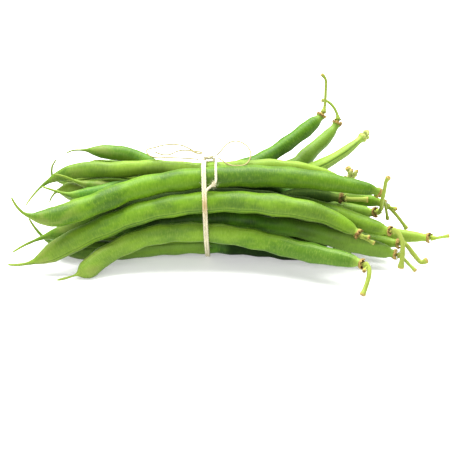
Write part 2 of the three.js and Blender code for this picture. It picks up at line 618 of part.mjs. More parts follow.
function bowString(route) {
  const points = route.map(([x, y, z]) => new THREE.Vector3(x, y, z).add(topKnot));
  const path = new THREE.CatmullRomCurve3(points, false, 'centripetal');
  const section = new THREE.Shape(Array.from({ length: 8 }, (_, k) => {
    const angle = (k / 8) * Math.PI * 2;
    return new THREE.Vector2(BOW_RADIUS * Math.cos(angle), BOW_RADIUS * Math.sin(angle));
  }));
  const steps = Math.round(path.getLength() / BOW_STEP);
  return new THREE.ExtrudeGeometry(section, { steps, extrudePath: path, bevelEnabled: false });
}

// ---------------------------------------------------------------- the scene graph

const bundle = new THREE.Group();
bundle.name = 'green_bean_bundle';

function addPiece(name, geometry, colour, roughness) {
  const material = new THREE.MeshStandardMaterial({ color: colour, roughness, metalness: 0 });
  const mesh = new THREE.Mesh(geometry, material);
  mesh.name = name;
  bundle.add(mesh);
  return mesh;
}

for (const bean of beans) addPiece(bean.name, beanGeometry(bean), bean.colour, 0.45);
addPiece('string_tie', meshFromSolid(tie), STRING_CREAM, 0.9);

// The origin is on the surface, under the middle of the beans and the tie.
const extent = new THREE.Box3().setFromObject(bundle);
const middle = extent.getCenter(new THREE.Vector3());
for (const [name, route] of Object.entries(bowRoutes)) {
  addPiece(name, bowString(route), STRING_CREAM, 0.9);
}
for (const mesh of bundle.children) mesh.position.set(-middle.x, -middle.y, -extent.min.z);

export default bundle;
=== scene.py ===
# %% [markdown]
# # A tied bundle of green beans
# Sixteen fresh beans lie on their sides, held round the middle by two turns of thin string whose ends
# make a small bow. A plain model of every bean and of the string comes in with the frame. This lesson
# lays a finer skin over each of them and gives it a surface: green flesh, brown scars, twisted fibres.
# Blender works in metres, so the small sizes below are written in millimetres and multiplied by MM.

# %% Load the frame
import math

import bpy
import numpy as np
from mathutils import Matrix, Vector, noise


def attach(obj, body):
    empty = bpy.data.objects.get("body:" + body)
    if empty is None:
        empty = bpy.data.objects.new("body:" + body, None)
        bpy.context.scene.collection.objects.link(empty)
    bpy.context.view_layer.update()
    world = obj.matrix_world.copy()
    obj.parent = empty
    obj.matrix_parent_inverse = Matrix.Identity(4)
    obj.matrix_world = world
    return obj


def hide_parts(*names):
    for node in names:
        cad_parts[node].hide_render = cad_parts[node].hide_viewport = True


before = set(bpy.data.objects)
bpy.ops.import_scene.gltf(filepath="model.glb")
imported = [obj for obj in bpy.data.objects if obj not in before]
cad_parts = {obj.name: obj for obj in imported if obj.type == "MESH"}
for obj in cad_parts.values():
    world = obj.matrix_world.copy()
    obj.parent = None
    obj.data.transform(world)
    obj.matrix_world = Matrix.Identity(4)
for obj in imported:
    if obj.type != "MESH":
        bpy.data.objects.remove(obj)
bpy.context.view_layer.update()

MM = 0.001
print(len(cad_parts), "plain pieces loaded")

# %% [markdown]
# ## The camera
# A long lens from more than a metre away shows the bundle almost without perspective, as a maker of
# food pictures likes it. It could be aimed with a constraint; here the place is worked out from the
# angle above the table and the distance, which keeps both numbers in plain sight.

# %% Place the camera
def add_object(name, data):
    thing = bpy.data.objects.new(name, data)
    bpy.context.scene.collection.objects.link(thing)
    return thing


ELEVATION = math.radians(24)
DISTANCE = 1.19533
AIM = Vector((-1.66, -0.566, 11.48)) * MM
SEEN_WIDTH = 0.171
FOCUS_DISTANCE = 1.2

camera_data = bpy.data.cameras.new("camera")
camera_data.sensor_width = 36
camera_data.lens = camera_data.sensor_width * FOCUS_DISTANCE / SEEN_WIDTH
camera_data.clip_end = 20
camera = add_object("camera", camera_data)
camera.location = AIM + DISTANCE * Vector((0, -math.cos(ELEVATION), math.sin(ELEVATION)))
camera.rotation_euler = (math.pi / 2 - ELEVATION, 0, 0)
bpy.context.scene.camera = camera
print("lens", round(camera_data.lens), "mm")

# %% [markdown]
# ## Smooth lines
# Beans, stalks and string are all long and thin, so all of them are swept along a line. Blender's own
# curve objects could do it, but then a bean could not change its section along the way, and the
# material could not know how far along the bean a place is. The line is a spline through given
# points, of the kind that makes no loops where two points lie close together.

# %% Lines and directions
POINTS_A_STRETCH = 24  # points worked out from one given point to the next


def unit(v):
    return v / np.maximum(np.linalg.norm(v, axis=-1, keepdims=True), 1e-12)


def along(line):
    """How far along a line each of its points lies."""
    return np.concatenate([[0], np.cumsum(np.linalg.norm(np.diff(line, axis=0), axis=1))])


def between(t, start, end, a, b):
    return (end - t) / (end - start) * a + (t - start) / (end - start) * b


def smooth_line(points, spacing):
    """Evenly spaced points on a smooth curve through given ones."""
    p = np.asarray(points, float)
    p = np.vstack([2 * p[0] - p[1], p, 2 * p[-1] - p[-2]])
    dense = []
    for a, b, c, d in zip(p, p[1:], p[2:], p[3:]):
        t1 = np.linalg.norm(b - a) ** 0.5
        t2 = t1 + np.linalg.norm(c - b) ** 0.5
        t3 = t2 + np.linalg.norm(d - c) ** 0.5
        t = np.linspace(t1, t2, POINTS_A_STRETCH, endpoint=False)[:, None]
        ab, bc, cd = between(t, 0, t1, a, b), between(t, t1, t2, b, c), between(t, t2, t3, c, d)
        abc, bcd = between(t, 0, t2, ab, bc), between(t, t1, t3, bc, cd)
        dense.append(between(t, t1, t2, abc, bcd))
    dense = np.vstack(dense + [p[-2][None]])
    return respaced(dense, spacing)


def respaced(line, spacing):
    """The same line with evenly spaced points."""
    s = along(line)
    steps = max(2, round(s[-1] / spacing))
    at = np.linspace(0, s[-1], steps + 1)
    return np.column_stack([np.interp(at, s, line[:, k]) for k in range(3)])


def directions(line, side):
    """Ahead, sideways and upwards at each point, turning with the line and not about it."""
    ahead = unit(np.gradient(line, axis=0))
    sideways = np.empty_like(line)
    for i, a in enumerate(ahead):
        side = unit(side - a * np.dot(side, a))
        sideways[i] = side
    return ahead, sideways, np.cross(sideways, ahead)


corner = smooth_line([(0, 0, 0), (1, 0, 0), (1, 1, 0)], 0.1)
print("a rounded corner of two steps is", round(along(corner)[-1], 2), "long")

# %% [markdown]
# ## Skins over rings
# A skin is a list of corners and a list of faces. Rings of corners are laid across a line, four-sided
# faces join each ring to the next, and a fan of triangles closes each end, so every skin is closed.
# One function does this for beans, sepals, plies and hairs alike.

# %% Skins and tubes
TUBE_SIDE = (0.3, 0.5, 0.81)  # a direction that no tube starts in


def net(rings, first, last):
    """Corners and faces of a closed skin over rings of corners, with one corner at each end."""
    count, sides = rings.shape[:2]
    corners = np.vstack([rings.reshape(-1, 3), first, last])
    k = np.arange(sides)
    n = (k + 1) % sides
    faces = []
    for i in range(count - 1):
        a, b = i * sides, (i + 1) * sides
        faces += np.column_stack([a + k, b + k, b + n, a + n]).tolist()
    tip, end, z = count * sides, count * sides + 1, (count - 1) * sides
    faces += [[tip, i, j] for i, j in zip(k.tolist(), n.tolist())]
    faces += [[end, z + j, z + i] for i, j in zip(k.tolist(), n.tolist())]
    return corners, faces


def oval_rings(line, sideways, upwards, wide, high, sides):
    angle = np.arange(sides) / sides * 2 * math.pi
    return (line[:, None] + wide * np.cos(angle)[None, :, None] * sideways[:, None]
            + high * np.sin(angle)[None, :, None] * upwards[:, None])


def tube(line, radius, sides):
    """A closed tube along a line; radius is one number or one for each point."""
    _, sideways, upwards = directions(line, np.array(TUBE_SIDE))
    r = np.broadcast_to(radius, len(line))[:, None, None]
    return net(oval_rings(line, sideways, upwards, r, r, sides), line[0], line[-1])


def join(parts):
    """Several skins as one set of corners and faces."""
    corners, faces, start = [], [], 0
    for c, f in parts:
        corners.append(c)
        faces += [[i + start for i in face] for face in f]
        start += len(c)
    return np.vstack(corners), faces


print("a tube of 11 rings and 6 sides has", len(tube(corner[:11], 0.1, 6)[1]), "faces")

# %% [markdown]
# ## From corners to a piece
# A mesh can keep a number or three at every corner, which Blender calls an attribute and a material
# can read. Every piece made here rides on the bundle's one body, is smooth shaded, and gets its finish
# at once.

# %% Make a piece
def make_piece(name, skin, material, values):
    corners, faces = skin
    mesh = bpy.data.meshes.new(name)
    mesh.from_pydata(corners.tolist(), [], faces)
    for key, data in values.items():
        vector = data.ndim == 2
        attribute = mesh.attributes.new(key, "FLOAT_VECTOR" if vector else "FLOAT", "POINT")
        attribute.data.foreach_set("vector" if vector else "value", data.astype(np.float32).ravel())
    mesh.polygons.foreach_set("use_smooth", [True] * len(mesh.polygons))
    mesh.materials.append(material)
    mesh.update()
    piece = add_object(name, mesh)
    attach(piece, "root")
    return piece


print(len(bpy.data.meshes), "meshes before the first piece is made")

# %% [markdown]
# ## Wiring nodes from a script
# A material is a tree of nodes joined by links. Placing each one by hand in the editor is quick for
# three nodes and slow for thirty, so this small helper adds a node, sets it and joins it in one call.
# Colours are typed as six hexadecimal digits, as a colour picker shows them, and turned into the plain
# light values that Blender works with.

# %% A helper for node trees
def colour(code):
    parts = [int(code[i:i + 2], 16) / 255 for i in (0, 2, 4)]
    linear = [c / 12.92 if c < 0.04045 else ((c + 0.055) / 1.055) ** 2.4 for c in parts]
    return (*linear, 1)


class Wiring:
    """Adds nodes to a tree. A value given for a socket is a number, a colour or another socket."""

    def __init__(self, tree):
        self.tree = tree

    def node(self, kind, inputs=None, **settings):
        node = self.tree.nodes.new(kind)
        node.location = (len(self.tree.nodes) * 170 - 1500, 0)
        for key, value in settings.items():
            setattr(node, key, value)
        for key, value in (inputs or {}).items():
            if isinstance(value, bpy.types.NodeSocket):
                self.tree.links.new(value, node.inputs[key])
            else:
                node.inputs[key].default_value = value
        return node

    def math(self, operation, a, b=0.0, clamp=False):
        return self.node("ShaderNodeMath", {0: a, 1: b}, operation=operation,
                         use_clamp=clamp).outputs[0]

    def step(self, value, start, end):
        """0 before start, 1 past end and smooth between; start may be the larger."""
        low, high, inverse = min(start, end), max(start, end), start > end
        return self.node("ShaderNodeMapRange", {
            "Value": value, "From Min": low, "From Max": high,
            "To Min": float(inverse), "To Max": float(not inverse)},
            interpolation_type="SMOOTHSTEP").outputs["Result"]

    def blend(self, amount, a, b):
        return self.node("ShaderNodeMix", {0: amount, 6: a, 7: b}, data_type="RGBA").outputs[2]

    def stretch(self, vector, scale):
        return self.node("ShaderNodeVectorMath", {0: vector, 1: scale}, operation="MULTIPLY").outputs[0]

    def attribute(self, name, output="Fac"):
        return self.node("ShaderNodeAttribute", attribute_name=name).outputs[output]

    def grain(self, vector, detail=2.0, rough=0.5):
        return self.node("ShaderNodeTexNoise", {
            "Vector": vector, "Scale": 1.0, "Detail": detail, "Roughness": rough}).outputs["Fac"]


print("a mid grey of 808080 is", round(colour("808080")[0], 3), "of full light")

# %% [markdown]
# ## Groups of nodes
# A pattern that several materials share is built once as a group, with a named socket for each thing
# that may differ. Copies of the nodes in every material would have to be changed one by one.
# The shader itself stays in the material, which takes its colour and relief from the group.

# %% Groups and the materials that use them
def new_group(name, inputs, outputs):
    """An empty node group with named sockets, each given as (kind, name) or (kind, name, value)."""
    tree = bpy.data.node_groups.new(name, "ShaderNodeTree")
    for direction, sockets in (("INPUT", inputs), ("OUTPUT", outputs)):
        for kind, label, *value in sockets:
            socket = tree.interface.new_socket(label, in_out=direction, socket_type="NodeSocket" + kind)
            if value:
                socket.default_value = value[0]
    wiring = Wiring(tree)
    return tree, wiring, wiring.node("NodeGroupInput").outputs, wiring.node("NodeGroupOutput").inputs


def new_material(name, plain):
    """A material, its wiring and its shader, with some of the shader's inputs set plainly."""
    material = bpy.data.materials.new(name)
    material.use_nodes = True
    shader = material.node_tree.nodes["Principled BSDF"]
    for key, value in plain.items():
        shader.inputs[key].default_value = value
    return material, Wiring(material.node_tree), shader


def patterned(name, group, settings, plain, relief):
    """A material whose colour, relief and, if it has one, roughness come from a group."""
    material, w, shader = new_material(name, plain)
    pattern = w.node("ShaderNodeGroup", node_tree=group)
    for key, value in settings.items():
        pattern.inputs[key].default_value = colour(value) if isinstance(value, str) else value
    bump = w.node("ShaderNodeBump", {"Height": pattern.outputs["Height"], "Strength": 0.5,
                                     "Distance": relief})
    w.tree.links.new(pattern.outputs["Color"], shader.inputs["Base Color"])
    w.tree.links.new(bump.outputs["Normal"], shader.inputs["Normal"])
    if "Roughness" in pattern.outputs:
        w.tree.links.new(pattern.outputs["Roughness"], shader.inputs["Roughness"])
    return material


print("groups so far:", len(bpy.data.node_groups))

# %% [markdown]
# ## Fibres
# The string is cotton: cream, with duller threads, a tan stain on the tie, and no shine. Its finish
# reads two attributes of the mesh: "lie" is the place on the string as if it were pulled straight, and
# "stain" says how stained it is. A group makes the fibre pattern, because the tie and the bow use it
# with colours and stains of their own.

# %% The fibre pattern
tree, w, given, out = new_group(
    "spun_fibres",
    [("Color", "Thread"), ("Color", "Shadow"), ("Color", "Stain", colour("a07c30")),
     ("Float", "Stain amount", 0.0)],
    [("Color", "Color"), ("Float", "Height")])
lie, stain = w.attribute("lie", "Vector"), w.attribute("stain")
fine = w.grain(w.stretch(lie, (3.0, 9.0, 9.0)), 3.0, 0.6)
broad = w.grain(w.stretch(lie, (0.25, 0.6, 0.6)), 2.0)
tint = w.blend(w.step(fine, 0.62, 0.3), given["Thread"], given["Shadow"])
tint = w.blend(w.math("MULTIPLY", w.step(broad, 0.45, 0.75), 0.35), tint, given["Shadow"])
amount = w.math("MULTIPLY", w.math("MULTIPLY", stain, w.step(fine, 0.25, 0.6)), given["Stain amount"])
tint = w.blend(amount, tint, given["Stain"])
w.tree.links.new(tint, out["Color"])
w.tree.links.new(fine, out["Height"])
spun_fibres = tree
print(len(spun_fibres.nodes), "nodes in the fibre group")

# %% [markdown]
# ## Two cottons
# The tie is a pale cream with a soft sheen. The bow is typed much darker than it looks: its thread is
# hardly wider than a dot of the picture, and the white behind it makes it look paler.

# %% The finishes of the string
COTTON = {"Roughness": 0.85, "Specular IOR Level": 0.2}
FIBRE_RELIEF = 0.06 * MM
tie_cotton = patterned(
    "tie_cotton", spun_fibres, {"Thread": "d6d1b4", "Shadow": "9c9270", "Stain amount": 0.8},
    {**COTTON, "Sheen Weight": 0.15}, FIBRE_RELIEF)
bow_cotton = patterned(
    "bow_cotton", spun_fibres, {"Thread": "aaa172", "Shadow": "8a8154"}, COTTON, FIBRE_RELIEF)
print("finishes:", tie_cotton.name, "and", bow_cotton.name)

# %% [markdown]
# ## Twisted string
# Real string is two or three plies laid round each other, with stray hairs standing off it. A smooth
# tube with a painted twist looks like wire, so each ply is swept along its own screw line round the
# middle of the string. Three plies sit a little closer to the middle than two and are a little fatter,
# which closes the hole between them.

# %% Plies
PLY_OFF = {2: 0.5, 3: 0.44}  # how far a ply's middle is from the string's, as a share of its radius
PLY_THICK = {2: 0.55, 3: 0.6}  # a ply's own radius, as a share of the string's
PLY_TURN = 1.7  # each ply's fibres start at another angle, in radians
ACROSS = (0.2, 0.4, 0.9)  # a direction that no string starts in


def twisted(line, radius, plies, pitch, sides=7):
    """Plies twisted round a line, as one skin, with the values that its finish reads."""
    _, sideways, upwards = directions(line, np.array(ACROSS))
    s = along(line)
    parts, lies = [], []
    for ply in range(plies):
        phase = s / pitch * 2 * math.pi + ply / plies * 2 * math.pi
        off = radius * PLY_OFF[plies]
        middle = line + off * (np.cos(phase)[:, None] * sideways + np.sin(phase)[:, None] * upwards)
        thick = radius * PLY_THICK[plies]
        corners, faces = tube(middle, thick, sides)
        angle = np.arange(sides) / sides * 2 * math.pi + ply * PLY_TURN
        lie = np.zeros((len(corners), 3))
        lie[:-2, 0] = np.repeat(s, sides) / MM
        lie[:-2, 1] = np.tile(np.cos(angle), len(line)) * thick / MM + ply * 3
        lie[:-2, 2] = np.tile(np.sin(angle), len(line)) * thick / MM
        lie[-2:] = lie[0], lie[-3]
        parts.append((corners, faces))
        lies.append(lie)
    return join(parts), np.vstack(lies)


print("a three-ply string is", round(2 * (PLY_OFF[3] + PLY_THICK[3]), 2), "radii across its plies")

# %% [markdown]
# ## Hairs
# Short ends stand off cotton and catch the light. Blender has hair of its own, but that isn't part of
# a mesh. So a hair here is a thin tube with three sides that starts on the string, curls away and
# thins out. The draws are seeded, so that the same hairs come out every time.

# %% Stray fibres
HAIR_RADIUS = 0.022 * MM
HAIR_POINTS = 6
HAIR_CURL = 0.45
ABOVE_TABLE = 0.05 * MM


def hairs(line, radius, count, length, seed):
    """Stray fibres standing off a string."""
    random = np.random.default_rng(seed)
    ahead, sideways, upwards = directions(line, np.array(ACROSS))
    parts = []
    for _ in range(count):
        i = random.integers(1, len(line) - 1)
        angle = random.uniform(0, 2 * math.pi)
        outward = math.cos(angle) * sideways[i] + math.sin(angle) * upwards[i]
        lean = unit(outward * random.uniform(0.3, 0.9) + ahead[i] * random.uniform(-1, 1))
        curl = unit(random.normal(size=3))
        size = length * random.uniform(0.4, 1.3)
        t = np.linspace(0, 1, HAIR_POINTS)[:, None]
        hair = line[i] + outward * radius * 0.8 + size * (lean * t + curl * HAIR_CURL * t * t)
        hair[:, 2] = np.maximum(hair[:, 2], ABOVE_TABLE)
        parts.append(tube(hair, np.linspace(HAIR_RADIUS, HAIR_RADIUS * 0.4, HAIR_POINTS), 3))
    return join(parts)


print("a hair has", HAIR_POINTS * 6, "triangles")

# %% [markdown]
# ## A piece of string
# Plies and hairs of one string are joined into one piece. Hairs are too thin to show a pattern, so
# theirs is simply read off their place in space.

# %% Join plies and hairs
def string_piece(name, skins, material, stain=None):
    """One string piece from (skin, lie) pairs; hairs have no lie of their own."""
    skin = join([skin for skin, _ in skins])
    lie = np.vstack([part[0] / MM if lie is None else lie for part, lie in skins])
    mask = np.zeros(len(skin[0])) if stain is None else stain(skin[0])
    return make_piece(name, skin, material, {"lie": lie, "stain": mask})


print("string pieces carry the attributes lie and stain")

# %% [markdown]
# ## The bow
# The ends of the string make a loose bow over the knot: one ear to the left, one to the right, and a
# short tail inside the left ear. It is a thinner string of three fine plies. In a simulation its loops
# would fall flat, so the routes are listed, as millimetres from the knot.

# %% The routes of the bow
KNOT = np.array((-7.62, 2.934, 37.683)) * MM
BOW_DIAMETER = 0.6 * MM
BOW_ROUTES = {
    "bow_left": [
        (-4.1, -2.4, 0.3), (-7.3, -2.1, 0.5), (-11.8, -1.5, 0.5), (-16, -0.9, 0.4), (-19.4, -0.4, 0.1),
        (-21.8, 1, 0.1), (-23.3, 2.9, 0.5), (-23.7, 4.7, 0.9), (-22.7, 6, 1.1), (-20.7, 6.2, 1.5),
        (-18.6, 5.9, 2.3), (-15.9, 5.5, 3), (-12.9, 4.9, 3.3), (-10, 4.3, 3.1), (-7.5, 3.8, 2.1),
        (-5.6, 3.5, 1.1), (-4.2, 3.4, 1), (-2.9, 2.7, 1.1), (-2.6, 1.5, 1.3), (-3.4, 0.4, 1.5),
        (-4.9, 0.2, 1.8), (-6.6, 0.6, 2.4), (-8.5, 1.1, 2.5), (-10.6, 1.5, 2.3), (-12.5, 1.6, 1.7),
        (-13.9, 1.5, 1), (-15.7, 1.3, 0.6), (-17.4, 1.4, 0.6), (-19.1, 1.7, 1), (-20.6, 2, 1.6)],
    "bow_right": [
        (3.2, 0.9, 0.9), (4.6, 1.5, 2.4), (6.2, 2.5, 3.9), (7.8, 2.9, 5), (9.7, 2.7, 5.6),
        (12, 2.1, 5.4), (14.2, 0.9, 4.3), (15.5, -0.9, 2.8), (15.5, -2.9, 1.4), (14.6, -4.7, 0.1),
        (13, -5.9, -0.6), (10.9, -6.4, -0.6), (8.8, -6.3, -0.6), (6.7, -5.7, -0.1), (4.9, -4.5, 0.7),
        (3.6, -2.9, 0.9)],
}
print([name + " of " + str(len(route)) + " points" for name, route in BOW_ROUTES.items()])

# %% [markdown]
# ## The bow as cords
# The left ear ends in a bare cut end, and the right one goes back into the knot. A cord keeps no shape
# of its own.

# %% Make the bow
CORD_STEP = 0.2 * MM
BOW_PITCH = 1.2 * MM
BOW_HAIRS = {"bow_left": 60, "bow_right": 36}
for number, (name, route) in enumerate(BOW_ROUTES.items()):
    line = smooth_line(KNOT + np.array(route) * MM, CORD_STEP)
    thread, lie = twisted(line, BOW_DIAMETER / 2, 3, BOW_PITCH, 6)
    fuzz = hairs(line, BOW_DIAMETER / 2, BOW_HAIRS[name], 1.0 * MM, 40 + number)
    piece = string_piece(name + "_thread", [(thread, lie), (fuzz, None)], bow_cotton)
    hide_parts(name)

# %% [markdown]
# ## The skin of a pod
# A bean is not one green. Its flesh is mottled, paler streaks run across it, two darker seams run along
# it, the beak fades to yellow, and the collar and the broken end of the stalk are brown. All of this
# depends on where on the bean a place is, so the finish reads those places from the mesh: "lie" is the
# place on the bean as if it were laid straight, "zone" holds the distance from the tip, past the
# pod's end and from the nearest seam, and "stub" the distance from the stalk's end, all in millimetres.
# "tone_and_shade" sets how light it is: 1 is pale, 0 plain, -1 deep. The deep tones are partly the
# bean's own green and partly painted shade, and from -1 to -2 it is painted shade, almost black and
# dull, as the gaps between beans look from the front. That is a trick of colour and not of light, so
# it is dark from every other side too.

# %% Start the group behind every bean
tree, w, given, out = new_group(
    "bean_skin",
    [("Color", "Flesh"), ("Color", "Deep"), ("Color", "Pale"), ("Color", "Blush", colour("77694a")),
     ("Color", "Stalk", colour("84923c")), ("Color", "Rim", colour("a08a4a")),
     ("Color", "Scar", colour("5c3c1e")), ("Color", "Shade", colour("0c1a06"))],
    [("Color", "Color"), ("Float", "Roughness"), ("Float", "Height")])
lie, stub, tone_and_shade = w.attribute("lie", "Vector"), w.attribute("stub"), w.attribute("tone_and_shade")
zone = w.node("ShaderNodeSeparateXYZ", {0: w.attribute("zone", "Vector")}).outputs
from_tip, past_end, seam = zone["X"], zone["Y"], zone["Z"]


def times(*values):
    product = values[0]
    for value in values[1:]:
        product = w.math("MULTIPLY", product, value)
    return product


print(len(tree.interface.items_tree), "sockets on the skin group")

# %% [markdown]
# ## Flesh and seams
# The flesh is built up as a painter would: a mottled ground, then tone with painted shade, streaks,
# fine dots, and a line of darker green in each seam with a paler one beside it. The noise is
# stretched, along the bean for the mottle and across it for the streaks. The beak fades to the
# stalk's colour, with a band of tan behind it.

# %% Paint the flesh
mottle = w.grain(w.stretch(lie, (0.075, 0.16, 0.16)), 3.0, 0.55)
streaks = w.grain(w.stretch(lie, (2.6, 0.6, 0.6)), 4.0, 0.65)
fine = w.grain(w.stretch(lie, (3.6, 2.6, 2.6)), 3.0, 0.65)
tint = w.blend(w.step(mottle, 0.34, 0.64), given["Deep"], given["Flesh"])
tint = w.blend(times(w.step(tone_and_shade, 0, 1), 0.7), tint, given["Pale"])
# tones below 0 are partly the bean's own deep green and partly painted shade; from -1 to -2 painted shade
tint = w.blend(times(w.step(tone_and_shade, 0, -1), 0.85), tint, given["Deep"])
shaded = w.step(tone_and_shade, -1, -2)
tint = w.blend(times(w.step(streaks, 0.45, 0.8), 0.36), tint, given["Pale"])
tint = w.blend(times(w.step(streaks, 0.48, 0.3), 0.28), tint, given["Deep"])
tint = w.blend(times(w.step(fine, 0.55, 0.8), 0.26), tint, given["Pale"])
beside = times(w.step(seam, 0.35, 0.7), w.step(seam, 1.5, 0.8))
tint = w.blend(times(beside, 0.16), tint, given["Pale"])
tint = w.blend(times(w.step(seam, 0.5, 0.1), w.step(mottle, 0.25, 0.5), 0.65), tint, given["Deep"])
# a band of tan from about 6 to 34 mm from the tip, broken up by the mottle
tan_band = times(w.step(from_tip, 6, 14), w.step(from_tip, 34, 20), w.step(mottle, 0.45, 0.6), 0.3)
tint = w.blend(tan_band, tint, given["Blush"])
tint = w.blend(times(w.step(from_tip, 12, 1.5), 0.55), tint, given["Stalk"])
tint = w.blend(times(w.step(past_end, -3.5, -0.3), 0.4), tint, given["Pale"])
print(len(tree.nodes), "nodes after the flesh")

# %% [markdown]
# ## Collar, stalk and broken end
# Past the pod's end come a straw-coloured rim, a brown scar, and then the green of the stalk again.
# Fine noise is added to the distance, so that the edges between them are ragged. The stalk's broken
# end is painted in the same way, counted from its far end.

# %% Paint the dry parts
RIM_FROM, SCAR_FROM, STALK_FROM = 0.2, 1.7, 3.1  # millimetres past the pod's end
ragged = w.math("ADD", past_end, times(w.math("SUBTRACT", fine, 0.5), 1.3))
tint = w.blend(w.step(ragged, RIM_FROM, RIM_FROM + 0.3), tint, given["Rim"])
patch = times(w.step(ragged, 0.25, 0.5), w.step(streaks, 0.44, 0.56))
tint = w.blend(times(patch, 0.8), tint, given["Scar"])
tint = w.blend(w.step(ragged, SCAR_FROM, SCAR_FROM + 0.5), tint, given["Scar"])
green_again = w.step(ragged, STALK_FROM, STALK_FROM + 0.5)
stalk = w.blend(times(w.step(fine, 0.5, 0.7), 0.4), given["Stalk"], given["Flesh"])
stalk = w.blend(times(w.step(tone_and_shade, 0.4, 1), 0.6), stalk, given["Pale"])
stalk = w.blend(times(w.step(ragged, 5.8, 4.6), w.step(streaks, 0.5, 0.6), 0.6), stalk, given["Scar"])
tint = w.blend(green_again, tint, stalk)
broken = w.math("ADD", stub, times(fine, 0.8))
tint = w.blend(times(w.step(broken, 1.5, 0.9), 0.8), tint, given["Rim"])
tint = w.blend(times(w.step(broken, 0.75, 0.4), 0.9), tint, given["Scar"])
# painted shade: from tone -1 to -2 the colour goes almost to black, as in the gaps between beans
tint = w.blend(times(shaded, 0.8), tint, given["Shade"])
w.tree.links.new(tint, out["Color"])
print(len(tree.nodes), "nodes after the dry parts")

# %% [markdown]
# ## Gloss and relief
# A fresh pod has a dull shine, a dry collar less, and the fine dots break it up. The same streaks and
# dots, lowered in the seams, are a height that a bump in the material turns into tiny relief.

# %% Finish the group
SMOOTHEST = 0.34
dry = w.step(past_end, -0.5, 1)
rough = w.math("ADD", times(fine, 0.22), times(dry, 0.2))
# the painted shade is made duller as well
rough = w.math("ADD", rough, times(shaded, 0.5))
w.tree.links.new(w.math("ADD", rough, SMOOTHEST, clamp=True), out["Roughness"])
height = w.math("ADD", times(streaks, 0.5), times(fine, 0.5))
w.tree.links.new(w.math("SUBTRACT", height, times(w.step(seam, 0.3, 0.05), 0.25)), out["Height"])
bean_skin = tree
print(len(bean_skin.nodes), "nodes in the group")

# %% [markdown]
# ## Finishes for the beans
# Three greens, light, middle and deep, do for most beans. A few have a finish of their own, kept under
# the bean's name and used in place of its green. It may also change the stalk, the rim and the scar.

# %% Make the finishes
FRESH_POD = {"Specular IOR Level": 0.14, "Sheen Weight": 0.03, "Sheen Roughness": 0.35}
SKIN_RELIEF = 0.1 * MM


def bean_finish(name, flesh, deep, pale, **dried):
    """A finish from three greens; dried gives other colours for Stalk, Rim or Scar."""
    return patterned(name, bean_skin, {"Flesh": flesh, "Deep": deep, "Pale": pale, **dried},
                     FRESH_POD, SKIN_RELIEF)


finishes = {
    "bean_green": bean_finish("bean_green_skin", "54790c", "36570e", "8aa33a"),
    "bean_light": bean_finish("bean_light_skin", "5f8214", "3e6210", "98b04c"),
    "bean_deep": bean_finish("bean_deep_skin", "406e0e", "24460c", "749034"),
    "bean_top": bean_finish("bean_top_skin", "54790c", "36570e", "8aa33a", Stalk="b9c070"),
    "bean_inner_front": bean_finish("bean_inner_skin", "54860c", "36640e", "8aa33a"),
    "bean_raised_left": bean_finish("bean_raised_skin", "4c760c", "30540a", "809a36"),
    "bean_raised_right": bean_finish("bean_young_skin", "64881a", "44661a", "98b04c",
                                     Rim="a3ac5c", Scar="7c8a40", Stalk="9aa65a"),
}
print(len(finishes), "bean finishes share one group")

# %% [markdown]
# ## Reading the plain beans
# Every plain bean is a stack of rings of eight corners with a point at each end. Walking outwards from
# the tip, corner by neighbouring corner, meets the rings one after another. Their middles give the
# line of the bean and their sizes its thickness, so the fine bean lies where the plain one does.

# %% Find the rings of a plain bean
RING_CORNERS = 8


def rings_of(node):
    """Middle and radius of each ring, from the tip to the end of the stalk."""
    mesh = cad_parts[node].data
    corners = np.array([v.co[:] for v in mesh.vertices])
    places, same = np.unique(np.round(corners / MM, 3), axis=0, return_inverse=True)
    same = same.reshape(-1)
    near = [set() for _ in places]
    for face in mesh.polygons:
        a, b, c = (int(same[i]) for i in face.vertices)
        near[a] |= {b, c}
        near[b] |= {a, c}
        near[c] |= {a, b}
    for start in np.argsort(places[:, 0]):
        if len(near[start]) != RING_CORNERS:
            continue
        seen, rings = {int(start)}, [[int(start)]]
        while rings[-1]:
            ring = {j for i in rings[-1] for j in near[i]} - seen
            seen |= ring
            rings.append(sorted(ring))
        rings.pop()
        if all(len(ring) == RING_CORNERS for ring in rings[1:-1]) and len(rings[-1]) == 1:
            break
    middles = np.array([places[ring].mean(0) for ring in rings]) * MM
    radii = np.array([np.linalg.norm(places[ring] * MM - m, axis=1).mean()
                      for ring, m in zip(rings, middles)])
    return middles, radii


print("bean_top has", len(rings_of("bean_top")[0]), "rings, its two end points among them")

# %% [markdown]
# ## Where a bean's rings go
# A fine bean is swept from rings of forty corners, closer together where the shape changes fast. Each
# stretch is divided evenly, because two rings that nearly fall together show as a crack. The collar
# has its own list, because there the skin turns back on itself: it goes out to a rim, folds back into
# the hollow behind it, and comes out again as the base of the stalk.

# %% Choose the rings
SIDES = 40
POD_RINGS = 26  # rings of a plain bean from its tip to its collar
COLLAR = np.array([  # place past the pod's end, radius, how ragged, distance over the surface
    (-0.3, 1.5, 0, -0.3), (0.0, 1.6, 0, 0.0), (0.3, 1.8, 0.2, 0.4), (0.65, 1.98, 0.5, 0.8),
    (1.0, 2.08, 0.8, 1.15), (1.3, 2.08, 1, 1.45), (1.42, 1.96, 1, 1.6), (1.3, 1.82, 1, 1.75),
    (1.0, 1.7, 0.7, 2.1), (0.7, 1.52, 0.3, 2.45), (0.5, 1.25, 0, 2.8), (0.5, 0.95, 0, 3.1),
    (0.8, 0.8, 0, 3.4), (1.3, 0.78, 0, 3.9), (1.8, 0.92, 0, 4.4), (2.2, 1.2, 0, 4.9),
    (2.55, 1.36, 0, 5.3), (2.9, 1.3, 0, 5.6), (3.3, 1.08, 0, 6.1), (3.8, 0.9, 0, 6.6)])
